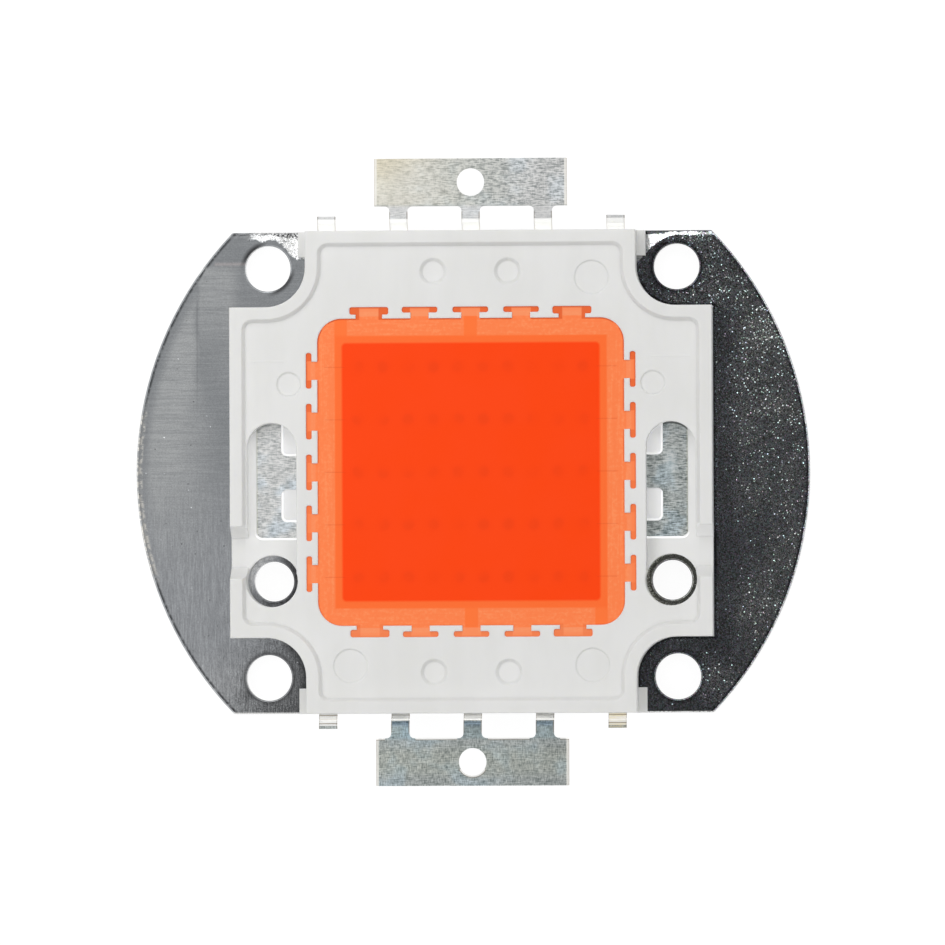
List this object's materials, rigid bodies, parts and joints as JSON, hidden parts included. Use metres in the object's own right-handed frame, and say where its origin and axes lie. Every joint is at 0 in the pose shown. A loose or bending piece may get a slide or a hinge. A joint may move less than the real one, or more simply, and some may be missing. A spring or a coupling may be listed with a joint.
{
  "type": "led chip",
  "caption": "Square high-power LED chip with a plated base plate with rounded ends, a white moulded frame, two solder tabs and a well of orange phosphor gel.",
  "frame": {"origin": "centre of the base plate's underside", "axes": "+X across the rounded ends, +Y towards the upper solder tab, +Z the way the light leaves"},
  "size_m": [0.056, 0.052, 0.0043],
  "materials": {
    "plated_copper": "nickel plated, fine brushed",
    "white_moulding": "fine matt moulding",
    "tinned_lead": "tinned, brushed",
    "silver_epoxy": "silver filled",
    "led_die": "polished",
    "gold_wire": "bright",
    "phosphor_gel": "smooth, slightly glossy"
  },
  "bodies": {
    "root": {"base_plate": "plated_copper", "moulded_frame": "white_moulding", "upper_lead": "tinned_lead", "lower_lead": "tinned_lead", "die_epoxy_1": "silver_epoxy", "die_epoxy_2": "silver_epoxy", "die_epoxy_3": "silver_epoxy", "die_epoxy_4": "silver_epoxy", "die_epoxy_5": "silver_epoxy", "die_row_1": "led_die", "die_row_2": "led_die", "die_row_3": "led_die", "die_row_4": "led_die", "die_row_5": "led_die", "bond_wires_1": "gold_wire", "bond_wires_2": "gold_wire", "bond_wires_3": "gold_wire", "bond_wires_4": "gold_wire", "bond_wires_5": "gold_wire", "phosphor_gel": "phosphor_gel"}
  },
  "joints": []
}
